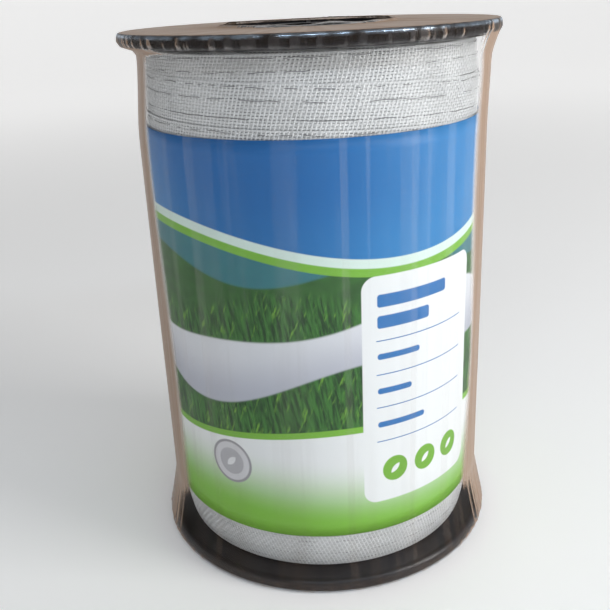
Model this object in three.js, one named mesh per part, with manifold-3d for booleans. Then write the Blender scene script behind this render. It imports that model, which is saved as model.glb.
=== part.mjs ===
// A reel of electric fence tape, standing on one flange, in its retail wrapping.
// Two moulded spool halves carry a wound roll of woven tape, a printed sleeve goes round the roll,
// and a clear shrink film holds it all. Millimetres, +Z up, origin under the centre of the lower end.
import * as THREE from 'three';
import { mergeVertices } from 'three/addons/utils/BufferGeometryUtils.js';
import Module from 'manifold-3d';

const wasm = await Module();
wasm.setup();

// Driving sizes of the spool
const flangeDiameter = 160;
const spoolHeight = 232;
const flangeDepth = 5.5;
const plateThickness = 2.5;
const rimWidth = 3;
const rimOuterRadius = 1;
const rimInnerRadius = 2;
const barrelDiameter = 66;
const barrelWall = 2.5;
const hubBore = 36;
const hubWall = 5;
const hubLength = 18;
const spigotLength = 15;
const spigotWall = 2.2;
const ribCount = 8;
const ribWidth = 2;
const ribSetback = 0.8;

// Driving sizes of the wound tape
const rollDiameter = 144.6;
const rollEndDrop = 2.2;
const rollEndLength = 16;
const tapePitch = 16.5;
const tapeStep = 0.5;
const endTurns = 5;
const endTurnDepth = 0.6;

// Driving sizes of the printed sleeve
const labelBase = 24.6;
const labelHeight = 171.5;
const labelWall = 0.3;
const labelOverlap = THREE.MathUtils.degToRad(12);
const labelRamp = THREE.MathUtils.degToRad(24);

// Driving sizes of the shrink film
const filmWall = 0.4;
const filmSlack = 2;
const filmOpening = 72;
const filmFlareLength = 24;
const filmFlareCurve = 1.6;

// Gap between pieces that touch on the real reel
const clearance = 0.3;
// Flat facets in a full turn, the same on every turned piece, so that their gaps stay even
const facets = 48;
const filletSteps = 2;
const flareSteps = 4;

const flangeRadius = flangeDiameter / 2;
const barrelRadius = barrelDiameter / 2;
const boreRadius = hubBore / 2;
const hubRadius = boreRadius + hubWall;
const rollRadius = rollDiameter / 2;
const lowerFace = filmWall + clearance;
const reelHeight = spoolHeight + 2 * lowerFace;
const middle = reelHeight / 2;
const plateRecess = flangeDepth - plateThickness;
const recessRadius = flangeRadius - rimWidth;

// A bare geometry whose shared corners are merged, with smooth normals for the screen
function welded(geometry) {
  geometry.deleteAttribute('normal');
  geometry.deleteAttribute('uv');
  const merged = mergeVertices(geometry, 1e-4);
  merged.computeVertexNormals();
  return merged;
}

// Turns a closed outline of [radius, height] points round the Z axis.
// The outline runs outwards along its low side and back along its high side.
function turned(outline) {
  const points = [...outline, outline[0]].map(([radius, height]) => new THREE.Vector2(radius, height));
  return welded(new THREE.LatheGeometry(points, facets).rotateX(Math.PI / 2));
}

// Points on a quarter circle, from startAngle to a right angle further on
function corner(centreRadius, centreHeight, radius, startAngle) {
  return Array.from({ length: filletSteps + 1 }, (_, step) => {
    const angle = startAngle + (step / filletSteps) * (Math.PI / 2);
    return [centreRadius + radius * Math.cos(angle), centreHeight + radius * Math.sin(angle)];
  });
}

function toManifold(geometry) {
  return new wasm.Manifold(new wasm.Mesh({
    numProp: 3,
    vertProperties: new Float32Array(geometry.attributes.position.array),
    triVerts: new Uint32Array(geometry.index.array),
  }));
}

function fromManifold(solid) {
  const { vertProperties, triVerts } = solid.getMesh();
  const geometry = new THREE.BufferGeometry();
  geometry.setAttribute('position', new THREE.BufferAttribute(vertProperties, 3));
  geometry.setIndex(new THREE.BufferAttribute(triVerts, 1));
  geometry.computeVertexNormals();
  return geometry;
}

// Outline of a spool half that stands on its flange: the rim, the recessed plate, the hub sleeve
// and the half barrel, whose far end is given as points from its outside to its inside.
function halfOutline(barrelEnd) {
  const innerFace = lowerFace + flangeDepth;
  return [
    [boreRadius, lowerFace],
    [hubRadius, lowerFace],
    [hubRadius, lowerFace + plateRecess],
    [recessRadius, lowerFace + plateRecess],
    [recessRadius, lowerFace],
    ...corner(flangeRadius - rimOuterRadius, lowerFace + rimOuterRadius, rimOuterRadius, -Math.PI / 2),
    ...corner(flangeRadius - rimInnerRadius, innerFace - rimInnerRadius, rimInnerRadius, 0),
    [barrelRadius, innerFace],
    ...barrelEnd,
    [barrelRadius - barrelWall, innerFace],
    [hubRadius, innerFace],
    [hubRadius, lowerFace + hubLength],
    [boreRadius, lowerFace + hubLength],
  ];
}

// Low ribs that stiffen the recessed plate, from the hub to the rim
function withRibs(half) {
  const sunk = 1;
  const start = hubRadius - sunk;
  const end = recessRadius + sunk;
  const height = plateRecess - ribSetback + sunk;
  let solid = toManifold(half);
  for (let rib = 0; rib < ribCount; rib += 1) {
    const box = new THREE.BoxGeometry(end - start, ribWidth, height);
    box.translate((start + end) / 2, 0, lowerFace + ribSetback + height / 2);
    box.rotateZ((rib / ribCount) * 2 * Math.PI);
    solid = solid.add(toManifold(welded(box)));
  }
  return fromManifold(solid);
}

// The lower half's barrel is a socket that stops just short of the upper half
function lowerHalf() {
  return withRibs(turned(halfOutline([
    [barrelRadius, middle - clearance],
    [barrelRadius - barrelWall, middle - clearance],
  ])));
}

// The upper half's barrel carries a spigot that plugs into the lower one.
// It is made standing on its flange, then turned over.
function upperHalf() {
  const spigotRadius = barrelRadius - barrelWall - clearance;
  const half = withRibs(turned(halfOutline([
    [barrelRadius, middle],
    [spigotRadius, middle],
    [spigotRadius, middle + spigotLength],
    [spigotRadius - spigotWall, middle + spigotLength],
    [spigotRadius - spigotWall, middle - barrelWall],
    [barrelRadius - barrelWall, middle - barrelWall],
  ])));
  return half.rotateX(Math.PI).translate(0, 0, reelHeight);
}

const rollBottom = lowerFace + flangeDepth + clearance;
const rollTop = reelHeight - rollBottom;

// Radius of the winding without its steps: full in the middle, and a little less at both ends
function windingRadius(height) {
  const inset = Math.min(height - rollBottom, rollTop - height) / rollEndLength;
  return rollRadius - tapeStep - rollEndDrop * (1 - Math.min(inset, 1)) ** 2;
}

// The wound tape: its turns lie as overlapping bands on the outside and as rings on both ends
function tapeRoll() {
  const bore = barrelRadius + clearance;
  const bands = Math.max(1, Math.round((rollTop - rollBottom) / tapePitch));
  const bandHeight = (rollTop - rollBottom) / bands;
  const outside = Array.from({ length: bands }, (_, band) => {
    const low = rollBottom + band * bandHeight;
    const high = low + bandHeight;
    return [[windingRadius(low), low], [windingRadius(high) + tapeStep, high]];
  }).flat();
  const ringWidth = (windingRadius(rollBottom) - bore) / endTurns;
  const rings = Array.from({ length: endTurns }, (_, ring) => [
    [bore + ring * ringWidth, 0],
    [bore + (ring + 0.5) * ringWidth, endTurnDepth],
  ]).flat();
  const bottomEnd = rings.map(([radius, depth]) => [radius, rollBottom + depth]);
  const topEnd = rings.map(([radius, depth]) => [radius, rollTop - depth]).reverse();
  return turned([...bottomEnd, ...outside, ...topEnd]);
}

// The printed sleeve: one strip wrapped round the roll, whose end lies over its own start at the back
function labelSleeve() {
  const inner = rollRadius + clearance;
  const lift = labelWall + clearance;
  const steps = Math.round(facets * (1 + labelOverlap / (2 * Math.PI)));
  const side = Array.from({ length: steps + 1 }, (_, step) => {
    const angle = (step / facets) * 2 * Math.PI;
    const climb = THREE.MathUtils.smoothstep(angle, 2 * Math.PI - labelRamp, 2 * Math.PI);
    return { angle, radius: inner + lift * climb };
  });
  const at = ({ angle, radius }, wall) => new THREE.Vector2(
    -(radius + wall) * Math.sin(angle),
    (radius + wall) * Math.cos(angle),
  );
  const outline = [
    ...side.map((place) => at(place, labelWall)),
    ...side.map((place) => at(place, 0)).reverse(),
  ];
  const sleeve = new THREE.ExtrudeGeometry(new THREE.Shape(outline), { depth: labelHeight, bevelEnabled: false });
  return welded(sleeve.translate(0, 0, labelBase));
}

// Half of one of the film's two surfaces, from an end opening over the rim to the end of its flare.
// standOff is how far outside the film's inner surface it lies. The film leaves the rim in a hollow
// curve down to the sleeve.
function filmSurface(standOff) {
  const rim = flangeRadius + clearance + standOff;
  const waist = rollRadius + clearance + 2 * (labelWall + clearance) + filmSlack + standOff;
  const flareBase = lowerFace + flangeDepth;
  const flare = Array.from({ length: flareSteps + 1 }, (_, step) => {
    const along = step / flareSteps;
    return [waist + (rim - waist) * (1 - along) ** filmFlareCurve, flareBase + along * filmFlareLength];
  });
  return [
    [filmOpening / 2, filmWall - standOff],
    ...corner(
      flangeRadius - rimOuterRadius,
      lowerFace + rimOuterRadius,
      rimOuterRadius + clearance + standOff,
      -Math.PI / 2,
    ),
    ...flare,
  ];
}

// The shrink film: a thin skin over both rims, open round both hubs
function shrinkFilm() {
  const outside = filmSurface(filmWall);
  const inside = filmSurface(0);
  const turnedOver = (points) => points.map(([radius, height]) => [radius, reelHeight - height]);
  return turned([
    ...outside,
    ...turnedOver(outside).reverse(),
    ...turnedOver(inside),
    ...inside.slice().reverse(),
  ]);
}

const blackPlastic = { color: 0x17161a, roughness: 0.42, metalness: 0 };
const finishes = {
  spool_lower_half: blackPlastic,
  spool_upper_half: blackPlastic,
  tape_roll: { color: 0xdfe1e0, roughness: 0.6, metalness: 0 },
  label_sleeve: { color: 0x3f8f4a, roughness: 0.35, metalness: 0 },
  shrink_film: { color: 0xe6dccf, roughness: 0.12, metalness: 0, transparent: true, opacity: 0.25 },
};
const shapes = {
  spool_lower_half: lowerHalf(),
  spool_upper_half: upperHalf(),
  tape_roll: tapeRoll(),
  label_sleeve: labelSleeve(),
  shrink_film: shrinkFilm(),
};

const reel = new THREE.Group();
for (const [name, geometry] of Object.entries(shapes)) {
  const piece = new THREE.Mesh(geometry, new THREE.MeshStandardMaterial(finishes[name]));
  piece.name = name;
  reel.add(piece);
}

export default reel;
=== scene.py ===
"""A shrink-wrapped reel of woven fence tape, dressed over its CAD frame.

The reel stands on one flange. Two black spool halves carry the wound tape, whose outer turns are
woven from real threads where they show, a printed paper sleeve goes round the roll, and a clear
film with pleats round both rims holds it all. Every size is in metres, in the frame of the CAD.
"""

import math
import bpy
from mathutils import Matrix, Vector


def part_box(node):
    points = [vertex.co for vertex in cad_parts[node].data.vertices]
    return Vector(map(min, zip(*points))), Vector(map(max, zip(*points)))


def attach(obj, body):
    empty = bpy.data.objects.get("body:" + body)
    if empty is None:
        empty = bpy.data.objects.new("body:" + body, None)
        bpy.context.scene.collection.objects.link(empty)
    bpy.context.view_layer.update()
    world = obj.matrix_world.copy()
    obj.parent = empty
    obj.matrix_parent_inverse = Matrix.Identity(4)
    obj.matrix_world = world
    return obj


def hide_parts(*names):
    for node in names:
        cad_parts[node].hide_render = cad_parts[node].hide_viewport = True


bl_info = {
    "name": "Fence Tape Reel",
    "version": (1, 0, 0),
    "blender": (4, 5, 0),
    "location": "View3D > Sidebar > Fence Reel",
    "description": "Dresses the frame of a reel of woven fence tape with its finished pieces",
    "category": "Object",
}

from collections import namedtuple

import bmesh
import bpy
import numpy as np
from bpy.props import FloatProperty, FloatVectorProperty, IntProperty, PointerProperty
from mathutils import Matrix, Vector

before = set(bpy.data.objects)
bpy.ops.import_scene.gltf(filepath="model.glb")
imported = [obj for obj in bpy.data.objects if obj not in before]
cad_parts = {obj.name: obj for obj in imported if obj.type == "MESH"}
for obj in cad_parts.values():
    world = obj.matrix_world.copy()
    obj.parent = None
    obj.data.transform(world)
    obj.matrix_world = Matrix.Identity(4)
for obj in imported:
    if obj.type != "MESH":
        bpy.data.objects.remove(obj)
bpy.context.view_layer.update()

LOWER_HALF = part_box("spool_lower_half")
UPPER_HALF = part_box("spool_upper_half")
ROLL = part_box("tape_roll")
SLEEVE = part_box("label_sleeve")
MILLIMETRE = 0.001
TURN = 2 * math.pi


# Sizes and colours

def length(name, description, default):
    """A size in metres that the sidebar shows as a length."""
    return FloatProperty(
        name=name, description=description, default=default, min=0.0, precision=5,
        subtype="DISTANCE", unit="LENGTH",
    )


def colour(name, description, default):
    """A linear colour that the sidebar shows as a swatch."""
    return FloatVectorProperty(
        name=name, description=description, default=default, size=3, min=0.0, max=1.0, subtype="COLOR",
    )


class SpoolSizes(bpy.types.PropertyGroup):
    """The two moulded halves of the spool."""

    flange_radius: length("Flange Radius", "Outer radius of both flanges", LOWER_HALF[1][0])
    lower_face: length("Lower Face", "Height of the rim plane of the lower flange", LOWER_HALF[0][2])
    upper_face: length("Upper Face", "Height of the rim plane of the upper flange", UPPER_HALF[1][2])
    flange_depth: length("Flange Depth", "Height of a flange's rim", 0.0055)
    plate: length("Plate", "Thickness of a flange's recessed plate", 0.0025)
    rim_width: length("Rim Width", "Width of the rim round a recessed plate", 0.003)
    outer_edge: length("Outer Edge", "Rounding of the rim's edge at an end of the reel", 0.001)
    inner_edge: length("Inner Edge", "Rounding of the rim's edge towards the tape", 0.0028)
    hub_bore: length("Hub Bore", "Radius of the bore for the spindle", 0.018)
    hub_wall: length("Hub Wall", "Wall of the sleeve round the bore", 0.005)
    hub_length: length("Hub Length", "Length of the sleeve round the bore", 0.018)
    barrel_radius: length("Barrel Radius", "Outer radius of the barrel", 0.033)
    barrel_wall: length("Barrel Wall", "Wall of the barrel", 0.0025)
    spigot_length: length("Spigot Length", "How far the upper half plugs into the lower one", 0.015)
    spigot_wall: length("Spigot Wall", "Wall of the spigot", 0.0022)
    rib_count: IntProperty(name="Ribs", description="Ribs on each recessed plate", default=8, min=3)
    rib_width: length("Rib Width", "Width of a rib", 0.002)
    rib_setback: length("Rib Setback", "How far a rib's edge lies below the rim plane", 0.0008)
    plastic: colour("Plastic", "Colour of the moulded plastic", (0.009, 0.0085, 0.010))


class TapeSizes(bpy.types.PropertyGroup):
    """The wound tape and the threads of its outer turns."""

    radius: length("Winding Radius", "Radius of the winding under its outer turns", ROLL[1][0] - 0.0015)
    bottom: length("Roll Bottom", "Height of the lower end of the roll", ROLL[0][2])
    top: length("Roll Top", "Height of the upper end of the roll", ROLL[1][2])
    end_drop: length("End Drop", "How much thinner the roll is at its ends", 0.0018)
    end_length: length("End Length", "How far from an end the roll gets thinner", 0.016)
    width: length("Tape Width", "Width of the tape", 0.020)
    pitch: length("Turn Pitch", "How far the tape climbs in a turn", 0.0165)
    lift: length("Edge Lift", "How far a tape's upper edge rides over the turn above", 0.0005)
    growth: length("Growth", "How much each turn adds to the radius", 0.00022)
    warps: IntProperty(name="Warps", description="Threads that run along the tape", default=17, min=4)
    warp_width: length("Warp Width", "Width of a thread along the tape", 0.00109)
    weft_pitch: length("Weft Pitch", "Distance between threads across the tape", 0.00165)
    weft_width: length("Weft Width", "Width of a thread across the tape", 0.00074)
    weave_depth: length("Weave Depth", "How far a thread rises and falls in the weave", 0.00009)
    wire: length("Wire", "Diameter that a steel wire shows", 0.00024)
    plastic: colour("Tape Plastic", "Colour of the threads", (0.71, 0.72, 0.725))
    steel: colour("Wire Steel", "Colour of the wires", (0.16, 0.16, 0.17))


class SleeveSizes(bpy.types.PropertyGroup):
    """The printed paper sleeve."""

    bottom: length("Sleeve Bottom", "Height of the sleeve's lower edge", SLEEVE[0][2])
    top: length("Sleeve Top", "Height of the sleeve's upper edge", SLEEVE[1][2])
    radius: length("Sleeve Radius", "Inner radius of the sleeve", SLEEVE[1][0] - 0.0003)
    paper: length("Paper", "Thickness of the paper", 0.00015)
    overlap: FloatProperty(
        name="Overlap", description="How far the sleeve's end lies over its start",
        default=math.radians(12), subtype="ANGLE", unit="ROTATION",
    )
    sky: colour("Sky", "Deep blue of the upper band", (0.004, 0.115, 0.36))
    sky_pale: colour("Pale Sky", "Light blue of the upper band", (0.028, 0.205, 0.48))
    lime: colour("Lime", "Bright green of the stripes and the foot", (0.18, 0.43, 0.045))
    leaf: colour("Leaf", "Mid green of the fields", (0.045, 0.17, 0.030))
    shade: colour("Shade", "Dark green of the fields", (0.012, 0.050, 0.014))
    paper_white: colour("Paper White", "White of the paper", (0.75, 0.775, 0.785))
    ink: colour("Ink", "Blue of the rules and bars", (0.03, 0.16, 0.42))


class FilmSizes(bpy.types.PropertyGroup):
    """The clear shrink film."""

    wall: length("Film Wall", "Thickness of the film", 0.00012)
    stand_off: length("Film Stand-off", "Gap between a rim and the film", 0.00032)
    waist: length("Film Waist", "Radius of the film between its flares", 0.0758)
    opening: length("Film Opening", "Radius of the openings round the hubs", 0.0362)
    pleats: IntProperty(name="Pleats", description="Pleats round each rim", default=150, min=10)
    # The film tint is a painted tan reflection of the room. The film shows it where it is seen edge-on,
    # over the rims and towards its lower end.
    tint: colour("Film Tint", "Colour of the film where it shows", (0.27, 0.158, 0.088))


class StageSizes(bpy.types.PropertyGroup):
    """The camera, the floor and the light."""

    lens: FloatProperty(name="Lens", description="Focal length on a 36 mm sensor", default=47.750, min=1.0)
    distance: length("Distance", "From the reel's axis to the camera", 0.3645)
    height: length("Camera Height", "Height of the camera above the floor", 0.2454)
    pitch: FloatProperty(
        name="Pitch", description="How far the camera looks down", default=math.radians(21.111),
        subtype="ANGLE", unit="ROTATION",
    )
    yaw: FloatProperty(
        name="Yaw", description="How far the camera looks to the right", default=math.radians(-1.069),
        subtype="ANGLE", unit="ROTATION",
    )
    roll: FloatProperty(
        name="Roll", description="How far the camera leans", default=math.radians(2.532),
        subtype="ANGLE", unit="ROTATION",
    )
    floor: colour("Floor", "Colour of the floor", (0.88, 0.88, 0.88))


SIZE_GROUPS = {
    "reel_spool": SpoolSizes,
    "reel_tape": TapeSizes,
    "reel_sleeve": SleeveSizes,
    "reel_film": FilmSizes,
    "reel_stage": StageSizes,
}


# Node trees, written as plain arithmetic

def join(tree, value, socket):
    """Links a field to a socket, or sets a plain value on the socket itself."""
    if isinstance(value, Field):
        tree.links.new(value.socket, socket)
    elif isinstance(value, bpy.types.NodeSocket):
        tree.links.new(value, socket)
    else:
        socket.default_value = value


def add_node(tree, kind, settings=None, inputs=None):
    """Adds a node, sets its own settings and joins its inputs by name or by place."""
    node = tree.nodes.new(kind)
    for name, value in (settings or {}).items():
        setattr(node, name, value)
    for name, value in (inputs or {}).items():
        join(tree, value, node.inputs[name])
    return node


class Field:
    """An output socket that takes part in arithmetic, where each step adds one Math node."""

    def __init__(self, tree, socket):
        self.tree = tree
        self.socket = socket

    def math(self, operation, *others):
        values = dict(enumerate((self, *others)))
        node = add_node(self.tree, "ShaderNodeMath", {"operation": operation}, values)
        return Field(self.tree, node.outputs[0])

    def __add__(self, other):
        return self.math("ADD", other)

    def __sub__(self, other):
        return self.math("SUBTRACT", other)

    def __mul__(self, other):
        return self.math("MULTIPLY", other)

    def __truediv__(self, other):
        return self.math("DIVIDE", other)

    def __neg__(self):
        return self.math("MULTIPLY", -1.0)

    def __rsub__(self, other):
        return self.math("MULTIPLY_ADD", -1.0, other)

    __radd__ = __add__
    __rmul__ = __mul__

    def sin(self):
        return self.math("SINE")

    def cos(self):
        return self.math("COSINE")

    def abs(self):
        return self.math("ABSOLUTE")

    def low(self, other):
        return self.math("MINIMUM", other)

    def high(self, other):
        return self.math("MAXIMUM", other)

    def above(self, other):
        return self.math("GREATER_THAN", other)

    def wrap(self, period):
        """The field folded into one period round zero."""
        return (self + period / 2).math("FLOORED_MODULO", period) - period / 2

    def ease(self, start, end):
        """0 before start, 1 after end, and smooth in between."""
        node = add_node(
            self.tree, "ShaderNodeMapRange", {"interpolation_type": "SMOOTHSTEP"},
            {"Value": self, "From Min": start, "From Max": end},
        )
        return Field(self.tree, node.outputs["Result"])


def noise(tree, place, scale, detail=2.0, roughness=0.5):
    """Values round 0.5 that change slowly from place to place."""
    node = add_node(
        tree, "ShaderNodeTexNoise", None,
        {"Vector": place, "Scale": scale, "Detail": detail, "Roughness": roughness},
    )
    return Field(tree, node.outputs[0])


def vector(tree, x, y, z):
    node = add_node(tree, "ShaderNodeCombineXYZ", None, {0: x, 1: y, 2: z})
    return Field(tree, node.outputs[0])


def parts_of(tree, place):
    """The three coordinates of a vector."""
    node = add_node(tree, "ShaderNodeSeparateXYZ", None, {0: place})
    return [Field(tree, socket) for socket in node.outputs]


def blend(tree, share, first, second):
    """The first colour turned into the second by a share from 0 to 1."""
    node = add_node(tree, "ShaderNodeMix", {"data_type": "RGBA"})
    join(tree, share, node.inputs[0])
    for value, socket in ((first, node.inputs[6]), (second, node.inputs[7])):
        join(tree, (*value, 1.0) if isinstance(value, tuple) else value, socket)
    return Field(tree, node.outputs[2])


def tone(values):
    """A colour property as a plain tuple."""
    return tuple(values)


def new_material(name):
    """A material with one Principled shader, its tree, and object coordinates."""
    material = bpy.data.materials.new(name)
    material.use_nodes = True
    tree = material.node_tree
    tree.nodes.clear()
    shader = tree.nodes.new("ShaderNodeBsdfPrincipled")
    output = tree.nodes.new("ShaderNodeOutputMaterial")
    tree.links.new(shader.outputs[0], output.inputs["Surface"])
    place = Field(tree, add_node(tree, "ShaderNodeTexCoord").outputs["Object"])
    return material, tree, shader, place


def set_bump(tree, shader, height, distance, strength=1.0):
    """Lets a height field in metres tilt the light on a surface."""
    node = add_node(
        tree, "ShaderNodeBump", None, {"Strength": strength, "Distance": distance, "Height": height},
    )
    join(tree, node.outputs[0], shader.inputs["Normal"])


def painted(tree, name):
    """A share that the mesh carries at its points."""
    return Field(tree, add_node(tree, "ShaderNodeAttribute", {"attribute_name": name}).outputs["Fac"])


def around(tree, place):
    """The angle round the reel's axis, from the front towards +X, and the height."""
    x, y, z = parts_of(tree, place)
    return x.math("ARCTAN2", -y), z


# Materials

def spool_plastic(sizes):
    """Black moulded plastic with a fine grain and faint handling marks."""
    material, tree, shader, place = new_material("black_moulded_plastic")
    grain = noise(tree, place, 2600.0, 2.0)
    cloud = noise(tree, place, 38.0, 4.0, 0.6)
    scuffs = noise(tree, place, 240.0, 5.0, 0.7)
    dark = tone(sizes.plastic)
    light = tuple(min(1.0, value * 2.1 + 0.004) for value in dark)
    join(tree, blend(tree, cloud.ease(0.35, 0.75), dark, light), shader.inputs["Base Color"])
    join(tree, 0.24 + cloud * 0.14 + scuffs.ease(0.55, 0.75) * 0.10, shader.inputs["Roughness"])
    shader.inputs["Specular IOR Level"].default_value = 0.36
    set_bump(tree, shader, grain * 0.5 + scuffs * 0.5, 0.00004, 0.6)
    return material


def thread_plastic(sizes, name, share_of_white):
    """White plastic thread, a little uneven in tone from thread to thread."""
    material, tree, shader, place = new_material(name)
    angle, height = around(tree, place)
    streak = noise(tree, vector(tree, angle * 9.0, height * 900.0, 0.0), 1.0, 3.0, 0.6)
    patch = noise(tree, place, 60.0, 3.0)
    white = tuple(value * share_of_white for value in sizes.plastic)
    grey = tuple(value * 0.80 for value in white)
    share = (streak * 0.6 + patch * 0.6).ease(0.40, 0.85)
    join(tree, blend(tree, share, white, grey), shader.inputs["Base Color"])
    join(tree, 0.34 + patch * 0.2, shader.inputs["Roughness"])
    set_bump(tree, shader, streak, 0.00003, 0.5)
    return material


def wire_steel(sizes):
    """Fine steel wire, rougher and paler in random patches."""
    material, tree, shader, place = new_material("fence_wire_steel")
    dull = noise(tree, place, 900.0, 2.0)
    dark = tone(sizes.steel)
    bright = tuple(value * 1.9 for value in dark)
    join(tree, blend(tree, dull.ease(0.4, 0.7), dark, bright), shader.inputs["Base Color"])
    join(tree, 0.30 + dull * 0.25, shader.inputs["Roughness"])
    shader.inputs["Metallic"].default_value = 1.0
    return material


def wound_turns(sizes):
    """The turns below the outer ones: threads that cross at a slant, with painted shade in the gaps between
    them.
    """
    material, tree, shader, place = new_material("wound_tape_below")
    angle, height = around(tree, place)
    arc = angle * sizes.radius
    drift = (noise(tree, place, 25.0, 2.0) - 0.5) * 0.0012
    warp = (height + arc * 0.036 + drift) / (sizes.width / sizes.warps)
    weft = (arc - height * 0.24 + drift) / sizes.weft_pitch
    across = (warp * math.pi).sin().abs().ease(0.20, 0.75)
    along = (weft * math.pi).sin().abs().ease(0.75, 0.97)
    thread = across.high(along)
    white = tuple(value * 0.90 for value in sizes.plastic)
    # painted shade: the gaps are dark where the holes down to the turns below would lie in shadow
    gap = tuple(value * 0.42 for value in sizes.plastic)
    patch = noise(tree, place, 90.0, 3.0)
    threads = blend(tree, patch, white, tuple(value * 0.86 for value in white))
    join(tree, blend(tree, thread, gap, threads), shader.inputs["Base Color"])
    shader.inputs["Roughness"].default_value = 0.5
    set_bump(tree, shader, thread, 0.0002, 0.8)
    return material


class Print:
    """The sleeve's print, laid down in layers of ink over the paper. Sizes are in millimetres."""

    def __init__(self, tree, across, up, ground):
        self.tree = tree
        self.across = across
        self.up = up
        self.colour = ground

    def ink(self, share, colour):
        self.colour = blend(self.tree, share, self.colour, colour)

    def line(self, level, swing, period, crest):
        """A wave that runs round the sleeve, highest where across equals crest."""
        return ((self.across - crest) * (TURN / period)).cos() * swing + level

    def card(self, x, y, half_width, half_height, corner, edge=0.25):
        """1 inside a rectangle with round corners, 0 outside."""
        right = ((self.across - x).abs() - (half_width - corner)).high(0.0)
        above = ((self.up - y).abs() - (half_height - corner)).high(0.0)
        reach = (right * right + above * above).math("SQRT")
        return 1.0 - reach.ease(corner - edge, corner + edge)

    def disc(self, x, y, radius, edge=0.25):
        right = self.across - x
        above = self.up - y
        reach = (right * right + above * above).math("SQRT")
        return 1.0 - reach.ease(radius - edge, radius + edge)

    def leaf(self, x, y, size):
        """Where two discs overlap, a slanted leaf remains."""
        return self.disc(x - size * 0.35, y + size * 0.35, size * 0.72) * self.disc(
            x + size * 0.35, y - size * 0.35, size * 0.72
        )


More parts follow.
